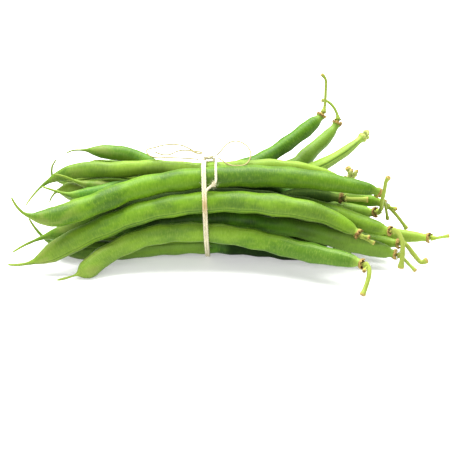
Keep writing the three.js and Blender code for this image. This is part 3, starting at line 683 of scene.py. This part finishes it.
STUB = np.array([  # distance from the broken end, radius as a share of the stalk's
    (0.0, 0.7), (0.2, 1.1), (0.5, 1.34), (0.9, 1.4), (1.5, 1.3), (2.2, 1.1), (3.0, 1.0)])
STUB_LENGTH = STUB[-1, 0]


def evenly(start, end, step):
    """Places from start up to end, about a step apart."""
    return np.linspace(start, end, max(1, round((end - start) / step)), endpoint=False)


def spaced_places(pod_end, length):
    """Where along a bean its rings go, in millimetres, and which of them make the collar."""
    pod = [evenly(0.25, 3, 0.35), evenly(3, 24, 0.6), evenly(24, pod_end - 6, 0.85),
           evenly(pod_end - 6, pod_end - 0.4, 0.5)]
    stalk = [evenly(pod_end + 4.3, length - STUB_LENGTH, 0.6),
             evenly(length - STUB_LENGTH, length - 0.1, 0.25)]
    first = sum(len(part) for part in pod)
    return (np.concatenate(pod + [pod_end + COLLAR[:, 0]] + stalk),
            slice(first, first + len(COLLAR)))


print("a bean 150 mm long has", len(spaced_places(130, 150)[0]), "rings")

# %% [markdown]
# ## A bean's line and thickness
# The line runs through the middles of the plain rings. The directions across it are carried along from
# one end to the other, so that a seam keeps its side and doesn't wind round the bean. The pod takes
# the plain bean's thickness. To draw its swellings out further, the difference between a close average
# and a wide one is added once more. The stalk is one thickness up to its swollen, broken end.

# %% Lay out a bean
LINE_STEP = 0.2
CLOSE, WIDE = 0.9, 7  # how far the two averages reach
NECK_OF_STALK = 0.85  # the collar's list fits a stalk of this radius


def soft_steps(x, xs, ys, blur):
    """Numbers between given ones, as interp gives them, with the corners rounded off."""
    offsets = np.linspace(-1, 1, 9) * blur
    weights = 1.1 - np.abs(np.linspace(-1, 1, 9))
    values = [np.interp(x + o, xs, ys) * q for o, q in zip(offsets, weights)]
    return np.sum(values, axis=0) / weights.sum()


def ring_sizes(at, collar, marks, radii, pod_end, length):
    """The radius of every ring, in millimetres."""
    pod_marks, pod_radii = marks[:POD_RINGS + 2], radii[:POD_RINGS + 2] / MM
    plain = soft_steps(at, pod_marks, pod_radii, CLOSE)
    plain += plain - soft_steps(at, pod_marks, pod_radii, WIDE)
    stem = np.median(radii[POD_RINGS + 6:-4]) / MM
    stub = length - at
    swelling = np.where(stub < STUB_LENGTH, np.interp(stub, STUB[:, 0], STUB[:, 1]), 1)
    size = np.where(at < pod_end, plain, stem * swelling)
    behind_rim = COLLAR[:, 3] > 3
    size[collar] = COLLAR[:, 1] * np.where(behind_rim, 0.35 + 0.65 * stem / NECK_OF_STALK, 1)
    return size


def lay_out(node):
    """A bean's line, the directions along it, and the place and size of its rings, in millimetres."""
    middles, radii = rings_of(node)
    line = smooth_line(middles / MM, LINE_STEP)
    s = along(line)
    marks = np.array([s[np.argmin(np.linalg.norm(line - m / MM, axis=1))] for m in middles])
    pod_end, length = marks[POD_RINGS + 1] + LINE_STEP, s[-1]
    ahead, front, up = directions(line, np.array((0.0, -1.0, 0.0)))
    at, collar = spaced_places(pod_end, length)
    return {"line": line, "s": s, "ahead": ahead, "front": front, "up": up, "pod_end": pod_end,
            "length": length, "at": at, "collar": collar,
            "size": ring_sizes(at, collar, marks, radii, pod_end, length)}


print("bean_top is", round(lay_out("bean_top")["length"], 1), "mm long with its stalk")

# %% [markdown]
# ## Lumps, seams and tears
# Slow noise gives a pod its lumps and quick noise its dents. It is a little wider from seam to seam
# than from side to side, and each seam is a fine groove between two low shoulders. The stalk is rough
# and has five ribs, and the collar's rim is torn. A displacement modifier could do the lumps, but
# grooves that keep to a seam are simpler to work out here.

# %% Shape the surface
SEAM_CROWDING = 0.6  # how much the corners crowd towards the two seams
OVAL = 0.03
SHOULDER, SHOULDER_AT, SHOULDER_WIDTH = 0.06, 0.9, 0.45
GROOVE, GROOVE_WIDTH = 0.14, 0.3
RIBS, RIB_HEIGHT, RIBS_FROM = 5, 0.05, 3.9
TEAR_OUT, TEAR_ALONG = 0.22, 0.9


def lump_rows(at, pod, angle, lumps, seed):
    """How far each corner stands out, as a share of its ring's radius."""
    rows = []
    for i, a in enumerate(at):
        row = []
        for turned in angle:
            c, d = math.cos(turned), math.sin(turned)
            slow = noise.noise(Vector((a * 0.055, c * 0.7 + seed * 9, d * 0.7)))
            quick = noise.noise(Vector((a * 0.22, c * 1.6 - seed * 5, d * 1.6)))
            rough = noise.noise(Vector((a * 1.3, c * 2.5, d * 2.5 + seed * 7)))
            row.append(pod[i] * (lumps * slow + 0.018 * quick) + (1 - pod[i]) * 0.07 * rough * (a > 12))
        rows.append(row)
    return np.array(rows)


def tear(angle, seed):
    """How far the torn rim stands out or in at an angle, from about -1 to 1."""
    c, d = math.cos(angle), math.sin(angle)
    return (noise.noise(Vector((c * 2.3, d * 2.3, seed * 3.7)))
            + 0.6 * noise.noise(Vector((c * 6, d * 6, seed * 1.9))))


def surface(spot, u, angle, ridge_size, lumps, seed):
    """The radius of every corner and its distance from the nearest seam, in millimetres."""
    at, size = spot["at"], spot["size"]
    past, stub = at - spot["pod_end"], spot["length"] - at
    pod = np.clip((-past - 0.4) / 3, 0, 1) * np.clip(at / 10, 0, 1)
    from_seam = np.abs((u + math.pi / 2) % math.pi - math.pi / 2)
    gap = size[:, None] * from_seam[None] * (1 - SEAM_CROWDING / 2)
    radius = size[:, None] * (1 + lump_rows(at, pod, angle, lumps, seed)
                              + pod[:, None] * OVAL * np.cos(2 * u)[None])
    ridge = (SHOULDER * np.exp(-((gap - SHOULDER_AT) / SHOULDER_WIDTH) ** 2)
             - GROOVE * np.exp(-(gap / GROOVE_WIDTH) ** 2))
    radius += pod[:, None] * ridge * ridge_size
    ribbed = (past > RIBS_FROM) & (stub > STUB_LENGTH)
    radius += ribbed[:, None] * RIB_HEIGHT * np.cos(RIBS * angle)[None]
    return radius, gap


print("a tear at the front of bean 1 is", round(tear(0, 1), 2))

# %% [markdown]
# ## Sweeping a fine bean
# Now the rings are laid across the line and joined, and every corner gets the attributes that the
# finish reads. The tears also shift the rim along the bean, so that they don't lie in one plane. What
# would reach below the table is lifted onto it.

# %% Sweep a fine bean
HOLLOW_WAY = 2.8  # how much longer the way over the collar's skin is than straight past it
BLUNT_END = 0.35
APART = 31  # keeps the noise of one bean away from the next one's
FAINTER = 0.6  # a weak seam counts as this much further away, so that it is painted fainter


def bean_shape(node, seam, ridge_size, lumps, seed):
    """Skin of a bean, the values kept at its corners, and its layout."""
    spot = lay_out(node)
    line, ahead, at, collar = spot["line"], spot["ahead"], spot["at"], spot["collar"]
    pod_end, length = spot["pod_end"], spot["length"]
    u = np.arange(SIDES) / SIDES * 2 * math.pi
    angle = math.radians(seam) + u - SEAM_CROWDING / 2 * np.sin(2 * u)
    radius, gap = surface(spot, u, angle, ridge_size, lumps, seed)
    torn = np.zeros(len(at))
    torn[collar] = COLLAR[:, 2]
    tears = np.array([tear(a, seed) for a in angle])
    radius += torn[:, None] * TEAR_OUT * tears[None]
    pick = np.clip(np.searchsorted(spot["s"], at), 0, len(line) - 1)
    across = (np.sin(angle)[None, :, None] * spot["up"][pick][:, None]
              + np.cos(angle)[None, :, None] * spot["front"][pick][:, None])
    rings = (line[pick][:, None] + radius[:, :, None] * across
             + (torn[:, None] * TEAR_ALONG * tears[None])[:, :, None] * ahead[pick][:, None])
    corners, faces = net(rings, line[0], line[-1] - ahead[-1] * BLUNT_END)
    corners = corners * MM
    corners[:, 2] = np.maximum(corners[:, 2], 0)
    lie = np.zeros((len(corners), 3))
    lie[:-2, 0] = np.repeat(at, SIDES)
    lie[:-2, 1] = (radius * np.cos(angle)[None]).ravel()
    lie[:-2, 2] = (radius * np.sin(angle)[None]).ravel()
    lie[-2], lie[-1] = (0, 0, 0), (length, 0, 0)
    lie[:, 1] += seed * APART
    past = at - pod_end
    over = np.where(past < 0, past, past + HOLLOW_WAY)
    over[collar] = COLLAR[:, 3]
    over = np.append(np.repeat(over, SIDES), (-pod_end, length))
    from_seam = np.append(gap.ravel(), (2, 2)) + FAINTER - FAINTER * ridge_size
    zone = np.column_stack([lie[:, 0], over, from_seam])
    return (corners, faces), {"lie": lie, "zone": zone, "stub": length - lie[:, 0]}, spot


print("a bean has about", SIDES * len(spaced_places(130, 150)[0]) * 2, "triangles")

# %% [markdown]
# ## Sepals and buds
# Behind the collar sit the dried tips of the calyx, small pale leaves that curl away, and on some
# stalks a bud that never opened. A sepal is a flattened tube, widest in its middle, and a bud is a
# short stalk with a round head, so that one function can grow both.

# %% Small growths on the calyx
GROWTH_SIDES, GROWTH_RINGS = 10, 9
GROWTH_BASE = 0.7  # how far from the bean's middle a growth starts
SEPAL_PLACE = 1.9  # past the pod's end
SEPAL_WIDTHS, SEPAL_FLAT = (0.3, 0.55, 0.5, 0.25, 0.06), 0.25
BUD_WIDTHS, BUD_FLAT, BUD_CURL = (0.55, 0.4, 0.4, 0.5, 0.8, 0.95, 0.85, 0.4), 0.9, 0.15
ON_STALK = (1000.0, 9.0, 3.0)  # a zone far from the tip, past the collar and off the seams


def growth(spot, at, degrees, lean, length, widths, flat, curl, seed):
    """A leaf or bud that grows from a place along the bean, towards an angle round it."""
    i = int(np.clip(np.searchsorted(spot["s"], at), 0, len(spot["s"]) - 1))
    a = math.radians(degrees)
    outward = math.cos(a) * spot["front"][i] + math.sin(a) * spot["up"][i]
    sideways = -math.sin(a) * spot["front"][i] + math.cos(a) * spot["up"][i]
    base = spot["line"][i] * MM + outward * GROWTH_BASE * MM
    t = np.linspace(0, 1, GROWTH_RINGS)[:, None]
    way = unit(outward + lean * spot["ahead"][i])
    turn = unit(np.cross(sideways, way))
    line = base + length * MM * (way * t + curl * turn * t ** 2)
    _, side, upwards = directions(line, sideways)
    width = np.interp(t[:, 0], np.linspace(0, 1, len(widths)), widths)[:, None, None] * MM
    rings = oval_rings(line, side, upwards, width, width * flat, GROWTH_SIDES)
    corners, faces = net(rings, line[0], line[-1])
    corners[:, 2] = np.maximum(corners[:, 2], 0)
    far = np.append(np.repeat(t[:, 0], GROWTH_SIDES), (0, 1)) * length
    lie = np.column_stack([far, np.full(len(far), seed * 3.0), corners[:, 2] / MM])
    zone = np.tile(ON_STALK, (len(far), 1))
    return (corners, faces), {"lie": lie, "zone": zone, "stub": length - far}


def sepals(spot, count, lean, size, seed):
    random = np.random.default_rng(seed)
    grown = []
    for i in range(count):
        degrees = 360 * i / count + random.uniform(-25, 25)
        at = spot["pod_end"] + SEPAL_PLACE + random.uniform(-0.3, 0.3)
        leaning = lean + random.uniform(-0.4, 0.4)
        length = size * random.uniform(0.7, 1.2)
        curl = random.uniform(-0.6, 0.6)
        grown.append(growth(spot, at, degrees, leaning, length, SEPAL_WIDTHS, SEPAL_FLAT, curl,
                            seed + i))
    return grown


def bud(spot, past, degrees, lean, length, seed):
    return growth(spot, spot["pod_end"] + past, degrees, lean, length, BUD_WIDTHS, BUD_FLAT, BUD_CURL,
                  seed)


print("a sepal has", len(sepals(lay_out("bean_top"), 1, 0, 1, 0)[0][0][1]), "faces")

# %% [markdown]
# ## The sixteen beans
# Each bean has its own turn of the seams, its own lumps and its own tones, which are partly its own
# green and partly painted shade. The middles of the beans deep in the bundle, and two right ends, are
# painted in shade with tones below -1. The list also gives every bean its sepals and buds.

# %% Describe the beans
BEANS = {
    # name: (slot, seam turn, seam strength, lumps, tones at the tip, the middle and the neck,
    #        with painted shade below -1, sepals as (count, lean, size),
    #        buds as (place, angle, lean, length))
    "bean_front_top": ("bean_green", 128, 0.2, 0.055, (0.15, -0.15, -0.5), (2, 0.3, 1.2), []),
    "bean_front_middle": ("bean_green", -25, 1, 0.045, (0.5, 0.15, 0.3), (2, 0.2, 1.8),
        [(3.4, 60, 1.6, 2.6)]),
    "bean_front_low": ("bean_light", 74, 0.5, 0.045, (0.4, 0.25, -1.0), (2, -0.3, 1.0),
        [(3.8, 5, 0.5, 3.4)]),
    # its right end, in the bundle's shadow, is painted in shade
    "bean_bottom_front": ("bean_deep", 20, 0.8, 0.03, (0.2, 0.7, -8.0), (2, 0.3, 1.4), []),
    "bean_top": ("bean_green", 75, 0.5, 0.04, (0.1, 0.45, 0.6), (6, 1.8, 5.4),
        [(3.0, -20, 2.0, 4.4), (2.4, 60, 1.6, 4.2)]),
    "bean_raised_left": ("bean_deep", 140, 0.3, 0.05, (0.3, 0.0, -0.5), (3, 0.5, 1.4), []),
    "bean_raised_middle": ("bean_deep", 130, 0.3, 0.04, (0.4, 0.3, 0.8), (4, 0.8, 1.8), []),
    "bean_raised_right": ("bean_light", 25, 1.3, 0.05, (0.4, 0.0, 0.5), (2, 0.6, 1.4),
        [(1.6, 80, 1.2, 2.0), (2.0, -60, 1.6, 2.0)]),
    # its middle and its right end are painted in shade
    "bean_inner_top": ("bean_green", 60, 0.4, 0.03, (0.2, -2.2, -1.7), (4, 1.1, 2.6), []),
    "bean_inner_front": ("bean_deep", 80, 0.3, 0.03, (0.4, -3.2, 0.5), (2, 0.4, 1.4), []),
    "bean_inner_back": ("bean_green", 40, 0.3, 0.03, (0.4, -2.2, 0.2), (5, 0.3, 2.4),
        [(3.4, 40, 1.0, 3.2)]),
    "bean_inner_low": ("bean_green", 95, 0.3, 0.035, (0.2, -2.2, 0.3), (2, 0.3, 1.6), []),
    "bean_low_front": ("bean_deep", 75, 0.3, 0.03, (0.0, 0.1, 0.7), (4, 0.5, 1.6), []),
    "bean_low_middle": ("bean_green", 50, 0.3, 0.03, (0.0, -2.0, 0.3), (2, 0.3, 1.4), []),
    "bean_low_back": ("bean_green", 65, 0.3, 0.03, (0.0, -2.0, 0.9), (5, 0.1, 2.2), []),
    "bean_back": ("bean_deep", 30, 0.3, 0.03, (0.0, -0.6, 0.0), (3, 0.4, 1.6), []),
}
print([name for name, row in BEANS.items() if min(row[4]) < -1], "are painted dark in places")

# %% [markdown]
# ## Making the beans
# A tone is given at the tip, the middle and the neck, and fades from one to the next. The deep tones
# are partly painted shade, and those below -1 wholly. The stalk takes the neck's, unless that is below
# 0, so that no deep tone and no painted shade reaches it. A bean with its sepals and buds is one piece,
# as it grew.

# %% Make the beans
TONE_PLACES = (0.1, 0.32, 0.6, 0.86)  # shares of the way from the tip to the pod's end
COLLAR_DEPTH = 3  # the stalk's own tone starts this far past the pod's end
bean_corners = {}
triangles = 0
for number, (name, row) in enumerate(BEANS.items()):
    slot, seam, ridge_size, lumps, tones, leaves, buds = row
    skin, values, spot = bean_shape(name, seam, ridge_size, lumps, number + 1)
    grown = sepals(spot, *leaves, 100 + number * 10)
    grown += [bud(spot, *b, 300 + number * 10 + i) for i, b in enumerate(buds)]
    skins = join([skin] + [g for g, _ in grown])
    values = {key: np.concatenate([values[key]] + [v[key] for _, v in grown]) for key in values}
    tip_tone, middle_tone, neck_tone = tones
    place = values["zone"][:, 0]
    way = np.clip(place / spot["pod_end"], 0, 1)
    values["tone_and_shade"] = np.interp(way, TONE_PLACES, (tip_tone, middle_tone, middle_tone, neck_tone))
    values["tone_and_shade"][place > spot["pod_end"] + COLLAR_DEPTH] = max(neck_tone, 0)
    piece = make_piece(name + "_pod", skins, finishes.get(name, finishes[slot]), values)
    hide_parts(name)
    bean_corners[name] = skin[0]
    triangles += sum(len(f) - 2 for f in skins[1])
print(len(BEANS), "beans of", triangles, "triangles")

# %% [markdown]
# ## The tie
# A taut string takes the shortest way round what it holds, so its line is the tightest outline round
# the beans where it crosses them, pushed out by half the string's thickness. A rope simulation would
# end in much the same place. The outline is found by walking round the spots in order and dropping
# every one at which the walk would bend inwards.

# %% The tightest outline
STRAND = 0.5  # the string's radius, in millimetres
CLEARANCE = 0.03
TIE_BAND = 1.6  # how far from the tie a corner still counts


def tie_x(z):
    """The tie leans a little: its x at a height, in millimetres."""
    return -8.1 - 0.04 * z


def outline(points):
    """The tightest outline round flat points, in order."""
    points = sorted(map(tuple, points))

    def chain(some):
        kept = []
        for p in some:
            while len(kept) > 1:
                (ax, ay), (bx, by) = kept[-2:]
                if (bx - ax) * (p[1] - ay) - (by - ay) * (p[0] - ax) > 0:
                    break
                kept.pop()
            kept.append(p)
        return kept[:-1]

    return chain(points) + chain(points[::-1])


angle = np.arange(36) / 36 * 2 * math.pi
around = (STRAND + CLEARANCE) * np.column_stack([np.cos(angle), np.sin(angle)])
spots = []
for corners in bean_corners.values():
    mm = corners / MM
    close = mm[np.abs(mm[:, 0] - tie_x(mm[:, 2])) < TIE_BAND][:, 1:]
    spots += [tuple(p) for corner in close for p in corner + around]
loop = np.array(outline(spots))
print("the outline has", len(loop), "corners")

# %% [markdown]
# ## Two turns of string
# The outline is opened at the top knot, spaced evenly and rounded off, since string doesn't bend at a
# corner. One turn runs straight down the front. The other strays to the right over the top and comes
# back at a small frayed knot, and a second strand lies beside the straight one above that knot.

# %% Lay the turns
TIE_STEP = 0.3
UPPER_HALF = 25  # the top knot lies above this height
ROUNDING = 9  # points averaged into one
TIE_SIDE = 0.42  # how far each turn lies from the line between them
STRAY = 4.1  # how far the second turn strays, and where along y and above which height
STRAY_FROM, STRAY_FULL, STRAY_BACK, STRAY_DONE = -16.2, -13.3, 3.4, 11.4
STRAY_ABOVE = 24
top = np.argmin(np.abs(loop[:, 0] - KNOT[1] / MM) + 100 * (loop[:, 1] < UPPER_HALF))
loop = np.vstack([loop[top:], loop[:top + 1]])
loop = respaced(np.column_stack([np.zeros(len(loop)), loop]), TIE_STEP)
soft = np.vstack([loop[-5:-1], loop, loop[1:5]])
loop = np.column_stack([np.convolve(soft[:, k], np.ones(ROUNDING) / ROUNDING, "valid") for k in range(3)])


def turn(which, strays):
    """A turn of the tie: which side it lies on, -1 or 1, and whether it strays, 0 or 1."""
    y, z = loop[:, 1], loop[:, 2]
    out = np.clip((y - STRAY_FROM) / (STRAY_FULL - STRAY_FROM), 0, 1)
    back = np.clip((y - STRAY_BACK) / (STRAY_DONE - STRAY_BACK), 0, 1)
    smooth = out * out * (3 - 2 * out) * (1 - back * back * (3 - 2 * back))
    stray = STRAY * smooth * (z > STRAY_ABOVE) * strays
    stray = np.convolve(np.pad(stray, 2, "edge"), np.ones(5) / 5, "valid")
    line = np.column_stack([tie_x(z) + which * TIE_SIDE + stray, y, z])
    return respaced(line, 0.25) * MM


straight, strayed = turn(-1, 0), turn(1, 1)
beside = turn(1, 0)
beside = beside[(beside[:, 2] > 30 * MM) & (beside[:, 1] > -16 * MM) & (beside[:, 1] < KNOT[1])]
print("round the beans:", [round(along(way)[-1] / MM, 1) for way in (straight, strayed)], "mm")

# %% [markdown]
# ## The knots
# The top knot is a short piece of string across both turns with two tight coils round it, and the
# leads of the bow come out of it. The front knot is a frayed lump: one coil, and many hairs. A knot
# tied strand by strand would hardly look different at this size.

# %% Lines of the knots
def coil(middle, axis, width, turns, radius):
    """A line that winds round an axis, for the wraps of a knot."""
    axis = unit(np.array(axis, float))
    side = unit(np.cross(axis, (0.1, 0.9, 0.4)))
    over = np.cross(axis, side)
    t = np.linspace(0, 1, int(turns * 22))[:, None]
    a = t * turns * 2 * math.pi
    return middle + (axis * (t - 0.5) * width + radius * (np.cos(a) * side + np.sin(a) * over))


def lead(*offsets):
    """A line through places given as millimetres from the top knot."""
    return smooth_line(KNOT + np.array(offsets) * MM, CORD_STEP)


FRONT_KNOT = np.array((-6.56, -14.72, 35.39)) * MM
front_knot = strayed[np.argmin(np.linalg.norm(strayed - FRONT_KNOT, axis=1))]
front_knot = front_knot + np.array((0, -0.3, 0.1)) * MM
crossing = smooth_line(np.array([
    straight[0], KNOT + np.array((-1, 0.1, -0.1)) * MM, KNOT + np.array((0.8, 0.2, 0)) * MM,
    strayed[0]]), CORD_STEP)
lines = [  # (line, radius, plies, pitch), with radius and pitch in millimetres
    (straight, STRAND, 3, 3.4), (strayed, STRAND, 3, 3.1), (crossing, STRAND, 3, 3),
    (beside, STRAND * 0.9, 3, 3.2),
    (coil(KNOT, (1, 0.05, 0), 1.8 * MM, 3, 0.5 * MM), 0.28, 2, 1.6),
    (coil(KNOT, (0.7, 0.7, 0), 1.2 * MM, 2, 0.6 * MM), 0.26, 2, 1.6),
    (lead((-1, -0.3, 0.4), (-2.3, -1.3, 0.6), (-3.2, -2.1, 0.45), (-4.1, -2.4, 0.3)), 0.3, 2, 2.2),
    (lead((0.9, 0.2, 0.4), (2, 0.5, 0.5), (3.2, 0.9, 0.9)), 0.3, 2, 2.2),
    (lead((3.6, -2.9, 0.9), (2.9, -1.8, 0.9), (1.8, -0.7, 0.8), (0.8, -0.2, 0.5)), 0.3, 2, 2.2),
    (coil(front_knot, (0.35, 0.5, 0.9), 1.5 * MM, 2.6, 0.5 * MM), 0.3, 2, 1.5),
]
print(len(lines), "lines make the tie")

# %% [markdown]
# ## The tie in one piece
# All its lines are twisted, joined and given the same cotton, with a tan stain on the front, a little
# above the middle.

# %% Make the tie
STAIN_HEIGHT, STAIN_SPREAD, STAIN_BEFORE = 27.5, 3.2, -12  # millimetres up, up and down, and along y
skins = []
for number, (line, radius, plies, pitch) in enumerate(lines):
    skins.append(twisted(line, radius * MM, plies, pitch * MM))
    skins.append((hairs(line, radius * MM, len(line) // 3, 0.9 * MM, 60 + number), None))
frayed = np.linspace(-1, 1, 12)[:, None] * np.array((0.3, 0.3, 0.8)) * MM + front_knot
skins.append((hairs(frayed, 0.5 * MM, 120, 1.5 * MM, 90), None))


def tan_stain(corners):
    """How stained each corner is, from 0 to 1."""
    z, y = corners[:, 2] / MM, corners[:, 1] / MM
    return np.exp(-((z - STAIN_HEIGHT) / STAIN_SPREAD) ** 2) * (y < STAIN_BEFORE)


tie = string_piece("string_tie_twist", skins, tie_cotton, tan_stain)
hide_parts("string_tie")
print("tie of", sum(len(f) - 2 for s, _ in skins for f in s[1]), "triangles")

# %% [markdown]
# ## The table and the light
# The bundle lies on a plain white surface. One wide soft light hangs above and a little behind, so
# the tops of the pods are pale and their undersides dark, and a weaker one fills from the front. A wide
# light makes a soft shadow. The table glows a little, which whitens it and lifts the shadow, and the
# white surroundings do the rest.

# %% Floor, lights and surroundings
TABLE_REACH = 3.0
TABLE_GLOW = 0.38
UNDER_THE_BEANS = 0.02 * MM
floor_mesh = bpy.data.meshes.new("floor")
table_corners = [(x * TABLE_REACH, y * TABLE_REACH, 0) for x, y in ((-1, -1), (1, -1), (1, 1), (-1, 1))]
floor_mesh.from_pydata(table_corners, [], [(0, 1, 2, 3)])
floor_mesh.materials.append(new_material("white_table", {
    "Base Color": colour("d2d2d2"), "Roughness": 0.9,
    "Emission Color": colour("ffffff"), "Emission Strength": TABLE_GLOW})[0])
floor = add_object("floor", floor_mesh)
floor.location = (0, 0, -UNDER_THE_BEANS)


def soft_light(name, place, target, size, power):
    data = bpy.data.lights.new(name, "AREA")
    data.shape = "RECTANGLE"
    data.size, data.size_y = size
    data.energy = power
    light = add_object(name, data)
    light.location = place
    light.rotation_euler = (Vector(target) - Vector(place)).to_track_quat("-Z", "Y").to_euler()


soft_light("overhead", (-0.04, 0.21, 0.71), (0, 0, 0), (0.95, 0.65), 26)
soft_light("front_fill", (-0.3, -0.8, 0.5), (0, 0, 0.02), (0.6, 0.4), 3.5)
world = bpy.data.worlds.new("white_room")
world.use_nodes = True
world.node_tree.nodes["Background"].inputs["Color"].default_value = colour("ffffff")
world.node_tree.nodes["Background"].inputs["Strength"].default_value = 0.7
bpy.context.scene.world = world
bpy.context.scene.view_settings.view_transform = "Standard"
print("lit by two lights and a white room")
